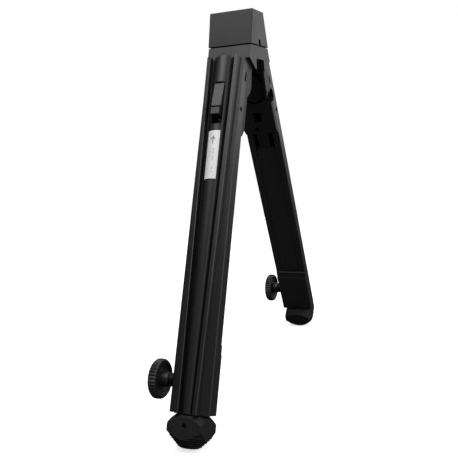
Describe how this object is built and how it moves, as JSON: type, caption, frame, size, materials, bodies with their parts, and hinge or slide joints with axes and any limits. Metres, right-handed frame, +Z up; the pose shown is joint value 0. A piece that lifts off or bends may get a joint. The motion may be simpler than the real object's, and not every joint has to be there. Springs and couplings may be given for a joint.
{
  "type": "folding two-legged support stand",
  "caption": "Folding stand with a wedge head, two ribbed legs that hinge outwards, telescoping bars with rubber feet, thumbscrew clamps and sliding latch buttons.",
  "frame": {"origin": "on the floor, midway between the two feet and midway across the whole width from the knobs' outer faces to the head's side; the head's middle is at X 7.9 mm", "axes": "+X to the right across the legs' width, away from the thumbscrews; +Y to the back, towards the far leg; +Z up"},
  "size_m": [0.0636, 0.3976, 0.4007],
  "materials": {
    "satin_plastic": "black satin moulded plastic",
    "anodised_aluminium": "black anodised extrusion",
    "cast_nylon": "black glass-filled nylon",
    "rubber": "matt black rubber",
    "steel": "zinc-plated steel",
    "brass": "turned brass",
    "label": "white printed label"
  },
  "bodies": {
    "head": {"head_cap": "satin_plastic", "head_body": "satin_plastic", "hinge_yoke": "steel", "yoke_screw_1": "steel", "yoke_screw_2": "steel", "near_hinge_pin": "steel", "far_hinge_pin": "steel"},
    "near_leg": {"near_leg_shell": "anodised_aluminium", "near_hinge_bracket": "cast_nylon", "near_hinge_cover": "cast_nylon", "near_bracket_rivet": "steel", "near_latch_spring": "steel", "near_clamp_collar": "cast_nylon", "near_clamp_bush": "steel", "near_clamp_pad": "brass", "near_label": "label"},
    "near_latch": {"near_slider_button": "satin_plastic", "near_latch_slide": "steel", "near_latch_pin": "steel"},
    "near_bar": {"near_inner_bar": "anodised_aluminium", "near_bar_guide": "cast_nylon", "near_foot": "rubber", "near_foot_pin": "steel"},
    "near_screw": {"near_clamp_stud": "steel", "near_thumbscrew_knob": "satin_plastic"},
    "far_leg": {"far_leg_shell": "anodised_aluminium", "far_hinge_bracket": "cast_nylon", "far_hinge_cover": "cast_nylon", "far_bracket_rivet": "steel", "far_latch_spring": "steel", "far_clamp_collar": "cast_nylon", "far_clamp_bush": "steel", "far_clamp_pad": "brass"},
    "far_latch": {"far_slider_button": "satin_plastic", "far_latch_slide": "steel", "far_latch_pin": "steel"},
    "far_bar": {"far_inner_bar": "anodised_aluminium", "far_bar_guide": "cast_nylon", "far_foot": "rubber", "far_foot_pin": "steel"},
    "far_screw": {"far_clamp_stud": "steel", "far_thumbscrew_knob": "satin_plastic"}
  },
  "joints": [
    {"name": "near_fold", "type": "hinge", "parent": "head", "child": "near_leg", "pos_m": [0.0079, -0.016, 0.354], "axis": [1, 0, 0], "range_deg": [0, 24]},
    {"name": "near_latch_slide", "type": "slide", "parent": "near_leg", "child": "near_latch", "axis": [0, -0.4067, -0.9135], "range_m": [0, 0.007], "stiffness_N_per_m": 300, "springref_m": -0.004, "deforming": ["near_latch_spring"]},
    {"name": "near_extend", "type": "slide", "parent": "near_leg", "child": "near_bar", "axis": [0, -0.4067, -0.9135], "range_m": [0, 0.15]},
    {"name": "near_thumbscrew_turn", "type": "hinge", "parent": "near_leg", "child": "near_screw", "pos_m": [-0.0277, -0.16563, 0.05553], "axis": [-1, 0, 0], "range_deg": [0, 360]},
    {"name": "far_fold", "type": "hinge", "parent": "head", "child": "far_leg", "pos_m": [0.0079, 0.016, 0.354], "axis": [-1, 0, 0], "range_deg": [0, 24]},
    {"name": "far_latch_slide", "type": "slide", "parent": "far_leg", "child": "far_latch", "axis": [0, 0.4067, -0.9135], "range_m": [0, 0.007], "stiffness_N_per_m": 300, "springref_m": -0.004, "deforming": ["far_latch_spring"]},
    {"name": "far_extend", "type": "slide", "parent": "far_leg", "child": "far_bar", "axis": [0, 0.4067, -0.9135], "range_m": [0, 0.15]},
    {"name": "far_thumbscrew_turn", "type": "hinge", "parent": "far_leg", "child": "far_screw", "pos_m": [-0.0277, 0.16563, 0.05553], "axis": [-1, 0, 0], "range_deg": [0, 360]}
  ]
}
